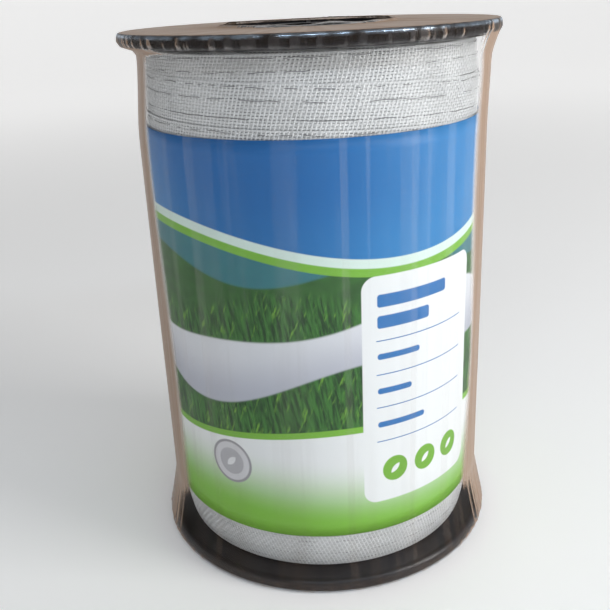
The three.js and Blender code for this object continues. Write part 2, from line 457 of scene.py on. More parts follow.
def printed_paper(sizes):
    """A plain meadow design in blue, green and white, repeated on both sides of the reel."""
    material, tree, shader, place = new_material("printed_paper")
    flat = Field(tree, add_node(tree, "ShaderNodeUVMap", {"uv_map": "print"}).outputs["UV"])
    across, up, _ = parts_of(tree, flat)
    period = math.pi * sizes.radius / MILLIMETRE
    across = across.wrap(period)
    white = tone(sizes.paper_white)
    lime, leaf, shade = tone(sizes.lime), tone(sizes.leaf), tone(sizes.shade)
    ink = tone(sizes.ink)

    # the foot: white that fades into lime towards the lower edge
    foot_fade = 1.0 - (up + (across * (TURN / period)).sin() * 4.0).ease(6.0, 38.0)
    sheet = Print(tree, across, up, blend(tree, foot_fade, white, tuple(v * 1.08 for v in lime)))

    # the fields: two rows of hills, with blades of grass in the nearer one
    foot = sheet.line(45.0, 5.0, period, 18.0)
    blades = noise(tree, vector(tree, across * 0.75 + up * 0.12, up * 0.085, 0.0), 1.0, 5.0, 0.62)
    blades_across = noise(tree, vector(tree, across * 0.60 - up * 0.22, up * 0.11, 7.0), 1.0, 4.0, 0.6)
    grass = blend(tree, blades.ease(0.38, 0.62), shade, leaf)
    bright = tuple(value * 0.80 for value in lime)
    grass = blend(tree, blades_across.ease(0.55, 0.70), grass, bright)
    fields = Print(tree, across, up, grass)
    far_hill = sheet.line(104.0, 6.0, period / 2, -12.0)
    far = blend(tree, noise(tree, vector(tree, across * 0.10, up * 0.22, 3.0), 1.0, 4.0), leaf, shade)
    fields.ink((up - far_hill).ease(-2.0, 6.0), far)
    haze = tuple(0.5 * (a + b) for a, b in zip(leaf, sizes.sky_pale))
    ridge = sheet.line(119.0, 5.0, period / 2, 30.0)
    fields.ink((up - ridge).ease(-0.8, 0.8) * 0.75, haze)
    sheet.ink((up - foot).ease(-0.3, 0.3), fields.colour)
    sheet.ink((1.0 - (up - foot - 1.2).abs().ease(1.2, 1.7)), lime)

    # a plain pale path that winds through the fields
    path = sheet.line(84.0, 10.0, period, 52.0)
    path_width = sheet.line(11.5, 3.0, period / 2, -50.0)
    path_share = 1.0 - ((up - path).abs() - path_width).ease(-0.6, 0.8)
    path_tone = blend(tree, (up - path).ease(-12.0, 12.0), (0.44, 0.46, 0.53), (0.66, 0.68, 0.72))
    sheet.ink(path_share * (up - foot - 2.4).ease(-0.3, 0.3), path_tone)

    # the sky, with a pale and a lime stripe along its lower edge
    skyline = sheet.line(132.0, 8.0, period, -78.0)
    sheet.ink((up - skyline + 7.2).ease(-0.3, 0.3), lime)
    sheet.ink((up - skyline + 3.8).ease(-0.3, 0.3), (0.62, 0.76, 0.70))
    sky_share = ((across - 82.0) * (TURN / period)).cos() * 0.42 + 0.42
    sky_share = sky_share + (1.0 - (up - skyline).ease(0.0, 30.0)) * 0.30
    sky = blend(tree, sky_share.ease(0.0, 1.0), tone(sizes.sky), tone(sizes.sky_pale))
    sheet.ink((up - skyline).ease(-0.3, 0.3), sky)

    # a white card with bars and thin rules in blue, and a row of green leaf marks
    sheet.ink(sheet.card(47.0, 66.0, 30.5, 51.5, 6.0), white)
    for x, y, half_width, half_height in (
        (40.5, 107.0, 17.5, 2.7), (35.5, 98.0, 12.5, 2.7),
        (33.0, 83.0, 10.0, 1.3), (31.0, 67.5, 8.0, 1.3), (34.5, 52.0, 11.5, 1.3),
    ):
        sheet.ink(sheet.card(x, y, half_width, half_height, min(half_height, 1.2)), ink)
    for y in (90.0, 75.0, 60.0, 44.0):
        sheet.ink(sheet.card(46.5, y, 24.0, 0.22, 0.2, 0.12), ink)
    for x in (31.0, 47.0, 63.0):
        sheet.ink(sheet.disc(x, 29.5, 6.0), tuple(v * 0.9 for v in lime))
        sheet.ink(sheet.leaf(x, 29.5, 5.4), white)

    # a silver ring over the foot
    sheet.ink(sheet.disc(-43.0, 32.0, 10.5), (0.30, 0.30, 0.32))
    sheet.ink(sheet.disc(-43.0, 32.0, 9.3), (0.60, 0.60, 0.63))
    sheet.ink(sheet.disc(-43.0, 32.0, 6.4), (0.42, 0.42, 0.45))
    sheet.ink(sheet.leaf(-43.0, 32.0, 6.4), (0.72, 0.73, 0.75))

    speckle = noise(tree, place, 5200.0, 1.0)
    mottled = blend(tree, speckle.ease(0.2, 0.8) * 0.06, sheet.colour, (0.5, 0.5, 0.5))
    join(tree, mottled, shader.inputs["Base Color"])
    fibre = noise(tree, place, 1400.0, 3.0, 0.6)
    wave = noise(tree, place, 26.0, 2.0)
    join(tree, 0.30 + fibre * 0.14, shader.inputs["Roughness"])
    shader.inputs["Specular IOR Level"].default_value = 0.22
    set_bump(tree, shader, fibre * 0.02 + wave, 0.0008, 0.5)
    return material


def shrink_film_plastic(sizes):
    """Thin clear film: hazy where it is pleated or doubled, with painted sheen and painted shade, and a
    painted tan reflection of the room where it is seen edge-on.
    """
    material, tree, shader, place = new_material("clear_shrink_film")
    pleat = painted(tree, "pleat")
    band = painted(tree, "rim_band")
    bead = painted(tree, "bead")
    crease = painted(tree, "crease")
    angle, height = around(tree, place)
    facing = Field(tree, add_node(tree, "ShaderNodeLayerWeight", None, {"Blend": 0.5}).outputs["Facing"])
    on_waist = height.ease(0.010, 0.034)
    edge_on = facing.ease(0.65, 0.76) * (0.72 + 0.28 * on_waist)
    smear = noise(tree, vector(tree, angle * 9.0, height * 5.0, 0.0), 1.0, 4.0, 0.6)
    panel = noise(tree, vector(tree, angle * 3.1, height * 1.5, 6.0), 1.0, 1.0)
    scratch = noise(tree, vector(tree, angle * 150.0, height * 16.0, 2.0), 1.0, 3.0, 0.6)
    doubled = noise(tree, vector(tree, angle * 30.0, 0.0, 9.0), 1.0, 4.0, 0.75)
    streak = noise(tree, vector(tree, angle * 11.0, height * 0.9, 12.0), 1.0, 1.0)

    # the upper rim's wall: painted shade that darkens it between its pleats, and a painted tan reflection
    # on its pleats towards the sides
    upper = height.ease(0.10, 0.20)
    ridge = pleat.ease(0.14, 0.42)
    shade = upper * band * (0.16 + doubled.ease(0.42, 0.58) * 0.30) * (1.0 - ridge)

    # painted reflection: a tan share where the film is seen edge-on, over the rims and towards its lower
    # end; there the film also turns nearly opaque
    pale = (0.82, 0.81, 0.80)
    tan_reflection = edge_on.high(1.0 - height.ease(0.0, 0.22)).high(band)
    body = blend(tree, tan_reflection * 0.92, pale, tone(sizes.tint))
    # painted shade: dark brown-black over the upper rim's wall and at the torn openings round the hubs
    body = blend(tree, shade.ease(0.0, 0.10).high(bead), body, (0.027, 0.018, 0.013))
    # painted highlight: pale blue along the rims' edges, partly a real metallic reflection of the lamps
    body = blend(tree, crease, body, (0.50, 0.60, 0.72))
    join(tree, body, shader.inputs["Base Color"])

    # painted sheen: the streak and panel terms lay pale vertical bands of painted reflection on the film;
    # smear and scratch are its haze
    haze = 0.004 + smear.ease(0.50, 0.66) * 0.016 + panel.ease(0.52, 0.55) * 0.014
    haze = haze + streak.ease(0.56, 0.62) * 0.030 + scratch.ease(0.64, 0.80) * 0.016
    haze = haze * (1.0 - band * 0.8)
    # pale pleats, a painted pale sheen on the lower rim, a painted tan reflection on the upper rim's
    # pleats, and the painted shade
    folds = pleat * 0.03 + (1.0 - upper) * band * (0.025 + doubled.ease(0.50, 0.56) * 0.05)
    folds = folds + upper * band * ridge * facing.ease(0.16, 0.50) * 0.62 + shade
    alpha = haze + folds + edge_on * 0.96 + bead + crease * 0.28
    join(tree, alpha.low(0.96), shader.inputs["Alpha"])

    rough = 0.10 + smear.ease(0.35, 0.75) * 0.12 + pleat * 0.10 + edge_on * 0.20
    join(tree, rough, shader.inputs["Roughness"])
    # metallic share along the rims' edges, so the painted highlight there also reflects the lamps
    join(tree, crease * 0.9, shader.inputs["Metallic"])
    shader.inputs["Specular IOR Level"].default_value = 0.12
    ripples = noise(tree, vector(tree, angle * 26.0, height * 22.0, 5.0), 1.0, 3.0, 0.55)
    set_bump(tree, shader, ripples * 0.8 + scratch * 0.06, 0.0009, 0.5)
    return material


def floor_paint(sizes):
    """Plain pale studio floor."""
    material, tree, shader, place = new_material("pale_floor")
    soft = noise(tree, place, 3.0, 2.0)
    pale = tone(sizes.floor)
    join(tree, blend(tree, soft, pale, tuple(v * 0.985 for v in pale)), shader.inputs["Base Color"])
    x, y, _ = parts_of(tree, place)
    far = (x * x + y * y).math("SQRT").ease(0.25, 2.0)
    shader.inputs["Emission Color"].default_value = (1.0, 1.0, 1.0, 1.0)
    join(tree, 0.10 + far * 0.36, shader.inputs["Emission Strength"])
    shader.inputs["Roughness"].default_value = 0.75
    return material


# Meshes

def new_object(name, mesh):
    thing = bpy.data.objects.new(name, mesh)
    bpy.context.scene.collection.objects.link(thing)
    return thing


def smooth(mesh, rounded=True):
    """Shades a mesh smooth, or flat where it isn't rounded."""
    mesh.polygons.foreach_set("use_smooth", [rounded] * len(mesh.polygons))
    mesh.update()


def outward(mesh):
    """Turns every closed shell's faces outwards."""
    shape = bmesh.new()
    shape.from_mesh(mesh)
    bmesh.ops.recalc_face_normals(shape, faces=shape.faces)
    shape.to_mesh(mesh)
    shape.free()
    mesh.update()


def finish(piece, nodes=()):
    """Joins a finished piece to the frame's root body and hides the nodes it stands for."""
    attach(piece, "root")
    if nodes:
        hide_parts(*nodes)


def turned(name, outline, material, facets=240):
    """Turns a closed outline of (radius, height) points round the Z axis."""
    radius, height = np.array(outline).T
    angle = np.arange(facets) * (TURN / facets)
    points = np.stack([
        np.outer(np.sin(angle), radius),
        -np.outer(np.cos(angle), radius),
        np.outer(np.ones(facets), height),
    ], axis=-1).reshape(-1, 3)
    count = len(outline)
    here = np.arange(facets)[:, None] * count + np.arange(count)[None, :]
    beside = np.roll(here, -1, axis=0)
    faces = np.stack([here, beside, np.roll(beside, -1, axis=1), np.roll(here, -1, axis=1)], axis=-1)
    mesh = bpy.data.meshes.new(name)
    mesh.from_pydata(points.tolist(), [], faces.reshape(-1, 4).tolist())
    outward(mesh)
    smooth(mesh)
    mesh.materials.append(material)
    return new_object(name, mesh)


def quarter(radius_at, height_at, radius, start, steps=5):
    """Points on a quarter circle that starts at an angle and runs a right angle further."""
    angles = [start + place / steps * math.pi / 2 for place in range(steps + 1)]
    return [(radius_at + radius * math.cos(a), height_at + radius * math.sin(a)) for a in angles]


def eased(outline, roundings):
    """Rounds chosen corners of an outline: roundings maps a corner's place to its radius."""
    result = []
    for place, point in enumerate(outline):
        radius = roundings.get(place)
        if not radius:
            result.append(point)
            continue
        corner = Vector(point)
        before = (Vector(outline[place - 1]) - corner).normalized()
        after = (Vector(outline[(place + 1) % len(outline)]) - corner).normalized()
        for share in (0.0, 0.25, 0.5, 0.75, 1.0):
            start, end = corner + before * radius, corner + after * radius
            bend = start.lerp(corner, share).lerp(corner.lerp(end, share), share)
            result.append((bend.x, bend.y))
    return result


# Geometry Nodes trees

def new_geometry_tree(name, sizes):
    """A modifier tree with one named input for each size, and its inputs as fields."""
    tree = bpy.data.node_groups.new(name, "GeometryNodeTree")
    tree.is_modifier = True
    tree.interface.new_socket("Geometry", in_out="INPUT", socket_type="NodeSocketGeometry")
    tree.interface.new_socket("Geometry", in_out="OUTPUT", socket_type="NodeSocketGeometry")
    for label, value in sizes.items():
        kind = "NodeSocketInt" if isinstance(value, int) else "NodeSocketFloat"
        tree.interface.new_socket(label, in_out="INPUT", socket_type=kind).default_value = value
    inputs = tree.nodes.new("NodeGroupInput")
    return tree, {label: Field(tree, inputs.outputs[label]) for label in ("Geometry", *sizes)}


def close_tree(tree, geometry, material):
    """Ends a tree in Realize Instances and Set Material."""
    real = add_node(tree, "GeometryNodeRealizeInstances", None, {"Geometry": geometry})
    painted = add_node(
        tree, "GeometryNodeSetMaterial", None, {"Geometry": real.outputs[0], "Material": material},
    )
    output = tree.nodes.new("NodeGroupOutput")
    tree.links.new(painted.outputs[0], output.inputs["Geometry"])


def grown(thing, tree, sizes):
    """Runs a tree on an object with these sizes, and leaves the result as its plain mesh."""
    modifier = thing.modifiers.new(tree.name, "NODES")
    modifier.node_group = tree
    for item in tree.interface.items_tree:
        if item.item_type == "SOCKET" and item.in_out == "INPUT" and item.name in sizes:
            modifier[item.identifier] = sizes[item.name]
    bpy.context.view_layer.update()
    result = thing.evaluated_get(bpy.context.evaluated_depsgraph_get())
    mesh = bpy.data.meshes.new_from_object(result)
    mesh.name = thing.name
    thing.modifiers.remove(modifier)
    thing.data = mesh
    return mesh


def rib_tree(sizes, material):
    """Repeats one low rib round the axis, between the hub and the rim."""
    tree, size = new_geometry_tree("radial_ribs", sizes)
    box = add_node(tree, "GeometryNodeMeshCube", None, {
        "Size": vector(tree, size["Rib Length"], size["Rib Width"], size["Rib Height"]),
        "Vertices X": 2, "Vertices Y": 2, "Vertices Z": 2,
    })
    placed = add_node(tree, "GeometryNodeTransform", None, {
        "Geometry": box.outputs["Mesh"],
        "Translation": vector(tree, size["Rib Middle"], 0.0, size["Rib Level"]),
    })
    hubs = add_node(tree, "GeometryNodeMeshLine", None, {"Count": size["Ribs"], "Offset": (0.0, 0.0, 0.0)})
    index = Field(tree, add_node(tree, "GeometryNodeInputIndex").outputs[0])
    spokes = add_node(tree, "GeometryNodeInstanceOnPoints", None, {
        "Points": hubs.outputs[0],
        "Instance": placed.outputs[0],
        "Rotation": vector(tree, 0.0, 0.0, index * TURN / size["Ribs"]),
    })
    both = tree.nodes.new("GeometryNodeJoinGeometry")
    tree.links.new(size["Geometry"].socket, both.inputs[0])
    tree.links.new(spokes.outputs[0], both.inputs[0])
    close_tree(tree, both.outputs[0], material)
    return tree


class Winding:
    """Where a point of the tape lies on the roll, as fields of a Geometry Nodes tree.

    A point is given by how far it has turned along the tape, how high it is above the tape's lower
    edge, and how far it stands out. The tape lies flat against a flange for a while, and then falls
    by one pitch a turn, each turn riding over the edge of the one before.
    """

    def __init__(self, tree, size):
        self.tree = tree
        self.size = size

    def place(self, turned_by, up, out):
        size = self.size
        edge = size["Edge"].low(size["Edge"] + size["Pitch"] * (size["Flat Turns"] - turned_by / TURN))
        height = edge + up
        from_end = (height - size["Roll Bottom"]).low(size["Roll Top"] - height) / size["End Length"]
        thin = 1.0 - from_end.high(0.0).low(1.0)
        radius = size["Radius"] - size["End Drop"] * thin * thin
        radius = radius + size["Lift"] * (up / size["Width"]) + size["Growth"] * (turned_by / TURN) + out
        angle = turned_by + size["Start"]
        return vector(self.tree, radius * angle.sin(), -(radius * angle.cos()), height)


def strands(tree, count, steps, name):
    """Flat strips that wait to be bent into threads.

    X runs from 0 to 1 along a thread, Y holds the place round its three-cornered section, from 0 to
    3, and Z holds the thread's number.
    """
    strip = add_node(tree, "GeometryNodeMeshGrid", {"label": name}, {
        "Size X": 1.0, "Size Y": 3.0, "Vertices X": steps + 1, "Vertices Y": 4,
    })
    moved = add_node(tree, "GeometryNodeTransform", None, {
        "Geometry": strip.outputs["Mesh"], "Translation": (0.5, 1.5, 0.0),
    })
    line = add_node(tree, "GeometryNodeMeshLine", None, {"Count": count, "Offset": (0.0, 0.0, 1.0)})
    copies = add_node(tree, "GeometryNodeInstanceOnPoints", None, {
        "Points": line.outputs[0], "Instance": moved.outputs[0],
    })
    real = add_node(tree, "GeometryNodeRealizeInstances", None, {"Geometry": copies.outputs[0]})
    place = Field(tree, add_node(tree, "GeometryNodeInputPosition").outputs[0])
    return real.outputs[0], parts_of(tree, place)


def section(corner, along, width, depth):
    """Sideways and outward reach of a thread's section, which closes to a point at both ends."""
    turn = corner * (TURN / 3.0)
    body = along.above(0.00001) * (1.0 - along.above(0.99999))
    return -(turn.sin()) * (width / 2.0) * body, turn.cos() * depth * body


def bent(tree, strips, place):
    """Moves strips to their place and closes their seams."""
    moved = add_node(tree, "GeometryNodeSetPosition", None, {"Geometry": strips, "Position": place})
    merged = add_node(
        tree, "GeometryNodeMergeByDistance", None, {"Geometry": moved.outputs[0], "Distance": 0.000002},
    )
    return merged.outputs[0]


def trimmed(tree, size, geometry):
    """Leaves only what shows between two heights."""
    height = parts_of(tree, Field(tree, add_node(tree, "GeometryNodeInputPosition").outputs[0]))[2]
    hidden = (size["Show From"] - height).above(0.0).high((height - size["Show To"]).above(0.0))
    return add_node(
        tree, "GeometryNodeDeleteGeometry", {"domain": "FACE"}, {"Geometry": geometry, "Selection": hidden},
    ).outputs[0]


def warp_tree(sizes, material):
    """Lays the threads that run along the tape, which rise and fall over the wefts in turn."""
    tree, size = new_geometry_tree("tape_warps", sizes)
    winding = Winding(tree, size)
    weft_turn = size["Weft Pitch"] / size["Radius"]
    wefts = (size["Turns"] * TURN / weft_turn).math("FLOOR")
    strips, (along, corner, number) = strands(tree, size["Warps"], wefts * 2.0, "warps")
    uneven = noise(tree, vector(tree, number * 3.7, along * 6.0, 1.0), 1.0, 2.0)
    width = size["Warp Width"] * (0.80 + uneven * 0.34)
    side, out = section(corner, along, width, size["Thread Depth"])
    turned_by = along * wefts * weft_turn
    up = (number + 0.5) * size["Width"] / size["Warps"]
    beat = turned_by / weft_turn - up * size["Slant"] / size["Weft Pitch"]
    wave = (beat * math.pi + number * math.pi).cos() * size["Weave Depth"]
    warps = bent(tree, strips, winding.place(turned_by, up + side, out + wave))
    close_tree(tree, trimmed(tree, size, warps), material)
    return tree


def weft_tree(sizes, material):
    """Lays the threads that cross the tape at a slant, over and under the warps in turn."""
    tree, size = new_geometry_tree("tape_wefts", sizes)
    winding = Winding(tree, size)
    warp_pitch = size["Width"] / size["Warps"]
    weft_turn = size["Weft Pitch"] / size["Radius"]
    wefts = (size["Turns"] * TURN / weft_turn).math("FLOOR")
    strips, (along, corner, number) = strands(tree, wefts, size["Warps"] * 2.0, "wefts")
    side, out = section(corner, along, size["Weft Width"], size["Thread Depth"])
    up = along * size["Width"]
    turned_by = (number * size["Weft Pitch"] + up * size["Slant"] + side) / size["Radius"]
    wave = ((up / warp_pitch - 0.5) * math.pi + number * math.pi).cos() * size["Weave Depth"]
    crossings = bent(tree, strips, winding.place(turned_by, up, out + size["Weft Lift"] - wave * 0.6))
    close_tree(tree, trimmed(tree, size, crossings), material)
    return tree


def wire_tree(sizes, material):
    """Lays the steel wires along the tape, where they float over the wefts and dip below them."""
    tree, size = new_geometry_tree("steel_wires", sizes)
    winding = Winding(tree, size)
    weft_turn = size["Weft Pitch"] / size["Radius"]
    steps = (size["Turns"] * TURN / weft_turn).math("FLOOR") * 2.0
    strips, (along, corner, number) = strands(tree, 4, steps, "wires")
    side, out = section(corner, along, size["Wire"], size["Wire"] * 0.5)
    turned_by = along * steps * weft_turn / 2.0
    millimetres_in_radian = 70.0
    arc = turned_by * millimetres_in_radian
    dip = noise(tree, vector(tree, arc * 0.11, number * 7.3, 0.0), 1.0, 2.0).ease(0.47, 0.53)
    sway = noise(tree, vector(tree, arc * 0.12, number * 5.1, 4.0), 1.0, 2.0) - 0.5
    up = size["Wire Start"] + size["Wire Spacing"] * number + size["Middle Gap"] * number.above(1.5)
    up = up + sway * 0.0016 + side
    out = out + size["Weave Depth"] * (dip * size["Wire Rise"] - 1.6)
    wires = bent(tree, strips, winding.place(turned_by, up, out))
    close_tree(tree, trimmed(tree, size, wires), material)
    return tree


# Operators

class REEL_OT_spool(bpy.types.Operator):
    """Makes both moulded spool halves, with their rims, ribs, hubs and barrel."""

    bl_idname = "reel.spool"
    bl_label = "Mould Spool"

    def outline(self, s, barrel_end):
        """A half that stands on its flange, as a closed outline with its sharp edges eased."""
        low, inner = s.lower_face, s.lower_face + s.flange_depth
        hub = s.hub_bore + s.hub_wall
        plate = inner - s.plate
        recess = s.flange_radius - s.rim_width
        ease = 0.0004
        ends = eased([
            (s.hub_bore, low), (hub, low), (hub, plate), (recess, plate), (recess, low),
        ], {0: ease, 1: ease, 2: 0.0008, 3: 0.0008, 4: ease})
        return [
            *ends,
            *quarter(s.flange_radius - s.outer_edge, low + s.outer_edge, s.outer_edge, -math.pi / 2),
            *quarter(s.flange_radius - s.inner_edge, inner - s.inner_edge, s.inner_edge, 0.0, 8),
            (s.barrel_radius, inner), *barrel_end,
            (s.barrel_radius - s.barrel_wall, inner), (hub, inner),
            (hub, low + s.hub_length), (s.hub_bore, low + s.hub_length),
        ]

    def half(self, s, name, barrel_end, material):
        low, inner = s.lower_face, s.lower_face + s.flange_depth
        hub, recess = s.hub_bore + s.hub_wall, s.flange_radius - s.rim_width
        sunk = 0.001
        depth = s.flange_depth - s.plate - s.rib_setback + sunk
        sizes = {
            "Ribs": s.rib_count,
            "Rib Width": s.rib_width,
            "Rib Height": depth,
            "Rib Length": recess - hub + 2 * sunk,
            "Rib Middle": (recess + hub) / 2,
            "Rib Level": low + s.rib_setback + depth / 2,
        }
        half = turned(name, self.outline(s, barrel_end), material)
        grown(half, rib_tree(sizes, material), sizes)
        return half

    def execute(self, context):
        s = context.scene.reel_spool
        material = spool_plastic(s)
        middle = (s.lower_face + s.upper_face) / 2
        gap = 0.0003
        inside = s.barrel_radius - s.barrel_wall
        lower = self.half(s, "spool_lower", [
            (s.barrel_radius, middle - gap), (inside, middle - gap),
        ], material)
        spigot = inside - gap
        upper = self.half(s, "spool_upper", [
            (s.barrel_radius, middle), (spigot, middle), (spigot, middle + s.spigot_length),
            (spigot - s.spigot_wall, middle + s.spigot_length),
            (spigot - s.spigot_wall, middle - s.barrel_wall), (inside, middle - s.barrel_wall),
        ], material)
        over = Matrix.Translation((0, 0, s.lower_face + s.upper_face)) @ Matrix.Rotation(math.pi, 4, "X")
        upper.data.transform(over)
        finish(lower, ["spool_lower_half"])
        finish(upper, ["spool_upper_half"])
        return {"FINISHED"}


class REEL_OT_tape(bpy.types.Operator):
    """Winds the roll, weaves its outer turns above and below the sleeve, and lays in the wires."""

    bl_idname = "reel.tape"
    bl_label = "Wind Tape"

    def winding_outline(self, s, bore):
        """The roll below its outer turns: bands on the outside and rings on both ends."""
        core = s.radius - 0.0003

        def radius(height):
            inset = min(height - s.bottom, s.top - height) / s.end_length
            return core - s.end_drop * (1 - min(inset, 1)) ** 2

        bands = round((s.top - s.bottom) / s.pitch)
        outside = []
        for band in range(bands):
            low = s.bottom + band * (s.top - s.bottom) / bands
            high = low + (s.top - s.bottom) / bands
            for share in (0.0, 0.25, 0.5, 0.75, 1.0):
                height = low + (high - low) * share
                outside.append((radius(height) + s.lift * 0.5 * share, height))
        turns = 26
        width = (radius(s.bottom) - bore) / turns
        rings = []
        for ring in range(turns):
            rings.append((bore + ring * width, 0.0))
            rings.append((bore + (ring + 0.5) * width, 0.0005))
        low_end = [(r, s.bottom + depth) for r, depth in rings]
        high_end = [(r, s.top - depth) for r, depth in rings]
        return [*low_end, *outside, *reversed(high_end)]

    def shared(self, s, edge, flat_turns, turns, start, show_from, show_to):
        """The inputs that the warps, wefts and wires of one stretch of tape have in common."""
        return {
            "Radius": s.radius,
            "Roll Bottom": s.bottom,
            "Roll Top": s.top,
            "End Drop": s.end_drop,
            "End Length": s.end_length,
            "Width": s.width,
            "Pitch": s.pitch,
            "Lift": s.lift,
            "Growth": s.growth,
            "Edge": edge,
            "Flat Turns": flat_turns,
            "Turns": turns,
            "Start": start,
            "Weft Pitch": s.weft_pitch,
            "Weave Depth": s.weave_depth,
            "Show From": show_from,
            "Show To": show_to,
        }

    def threads(self, s, slant):
        return {
            "Warps": s.warps,
            "Warp Width": s.warp_width,
            "Weft Width": s.weft_width,
            "Thread Depth": 0.000045,
            "Weft Lift": 0.00013,
            "Slant": slant,
        }

    def wires(self, s, rise):
        return {
            "Wire Rise": rise,
            "Wire": s.wire,
            "Wire Start": 0.0023,
            "Wire Spacing": 0.0047,
            "Middle Gap": 0.0019,
        }

    def execute(self, context):
        s = context.scene.reel_tape
        sleeve = context.scene.reel_sleeve
        edge_gap, tuck = 0.0003, 0.004
        upper = self.shared(
            s, edge=s.top - 3 * edge_gap - s.width, flat_turns=1.0, turns=2.95,
            start=math.radians(-587.5), show_from=sleeve.top - tuck, show_to=s.top,
        )
        lower = self.shared(
            s, edge=s.bottom + edge_gap, flat_turns=2.0, turns=1.0,
            start=math.radians(180.0), show_from=s.bottom, show_to=sleeve.bottom + tuck,
        )
        bore = context.scene.reel_spool.barrel_radius + edge_gap
        roll = turned("tape_winding", self.winding_outline(s, bore), wound_turns(s), 300)
        finish(roll, ["tape_roll"])
        # The warps are a little darker than the wefts: painted shade where they lie under the wefts.
        warp = thread_plastic(s, "tape_warp_thread", 0.88)
        weft = thread_plastic(s, "tape_weft_thread", 1.0)
        steel = wire_steel(s)
        stretches = (("upper", upper, 0.30, 4.8), ("lower", lower, -0.40, 2.0))
        for name, sizes, slant, rise in stretches:
            for kind, extra, make, material in (
                ("tape_warps", self.threads(s, slant), warp_tree, warp),
                ("tape_wefts", self.threads(s, slant), weft_tree, weft),
                ("tape_wires", self.wires(s, rise), wire_tree, steel),
            ):
                piece = new_object(f"{kind}_{name}", bpy.data.meshes.new(f"{kind}_{name}"))
                every = {**sizes, **extra}
                smooth(grown(piece, make(every, material), every), rounded=material is steel)
                finish(piece)
        return {"FINISHED"}


class REEL_OT_sleeve(bpy.types.Operator):
    """Wraps the printed paper sleeve round the roll, with its end over its start at the back."""

    bl_idname = "reel.sleeve"
    bl_label = "Wrap Sleeve"

    def execute(self, context):
        s = context.scene.reel_sleeve
        columns, rows = 520, 28
        unevenness = 0.00004
        angle = np.linspace(0, TURN + s.overlap, columns + 1)
        climb = np.clip((angle - (TURN - 2 * s.overlap)) / (2 * s.overlap), 0, 1)
        radius = s.radius + 2.2 * s.paper * climb * climb * (3 - 2 * climb)
        height = np.linspace(s.bottom, s.top, rows + 1)
        wave = np.sin(3 * angle + 1.1)[:, None] * np.sin(40 * height)[None, :]
        wave += np.sin(7 * angle + 0.4)[:, None] * np.sin(71 * height + 1.0)[None, :]
        radius = radius[:, None] + unevenness * wave
        walls = []
        for wall in (s.paper, 0.0):
            walls.append(np.stack([
                -(radius + wall) * np.sin(angle)[:, None],
                (radius + wall) * np.cos(angle)[:, None],
                np.broadcast_to(height[None, :], radius.shape),
            ], axis=-1).reshape(-1, 3))
        count = (columns + 1) * (rows + 1)
        grid = np.arange(count).reshape(columns + 1, rows + 1)
        corners = [grid[:-1, :-1], grid[1:, :-1], grid[1:, 1:], grid[:-1, 1:]]
        outer = np.stack(corners, axis=-1).reshape(-1, 4)
        inner = outer[:, ::-1] + count
        rim = np.concatenate([grid[:, 0], grid[-1, 1:], grid[-2::-1, -1], grid[0, -2:0:-1]])
        after = np.roll(rim, -1)
        edge = np.stack([rim, rim + count, after + count, after], axis=-1)
        faces = np.concatenate([outer, inner, edge])
        name = "printed_sleeve"
        mesh = bpy.data.meshes.new(name)
        mesh.from_pydata(np.concatenate(walls).tolist(), [], faces.tolist())
        across = (angle - math.pi) * s.radius / MILLIMETRE
        up = (height - s.bottom) / MILLIMETRE
        flat = np.stack(np.meshgrid(across, up, indexing="ij"), axis=-1).reshape(-1, 2)
        flat = np.concatenate([flat, flat])
        corner_points = np.empty(len(mesh.loops), dtype=np.int64)
        mesh.loops.foreach_get("vertex_index", corner_points)
        mesh.uv_layers.new(name="print").data.foreach_set("uv", flat[corner_points].ravel())
        mesh.materials.append(printed_paper(s))
        smooth(mesh)
        finish(new_object(name, mesh), ["label_sleeve"])
        return {"FINISHED"}


# Each row also carries a share of painted highlight for the rims' edges.
# Each row also carries a share of painted shade for the film's torn opening.
FilmRow = namedtuple("FilmRow", "radius height pleat rim_band bead crease", defaults=(0.0, 0.0, 0.0, 0.0))


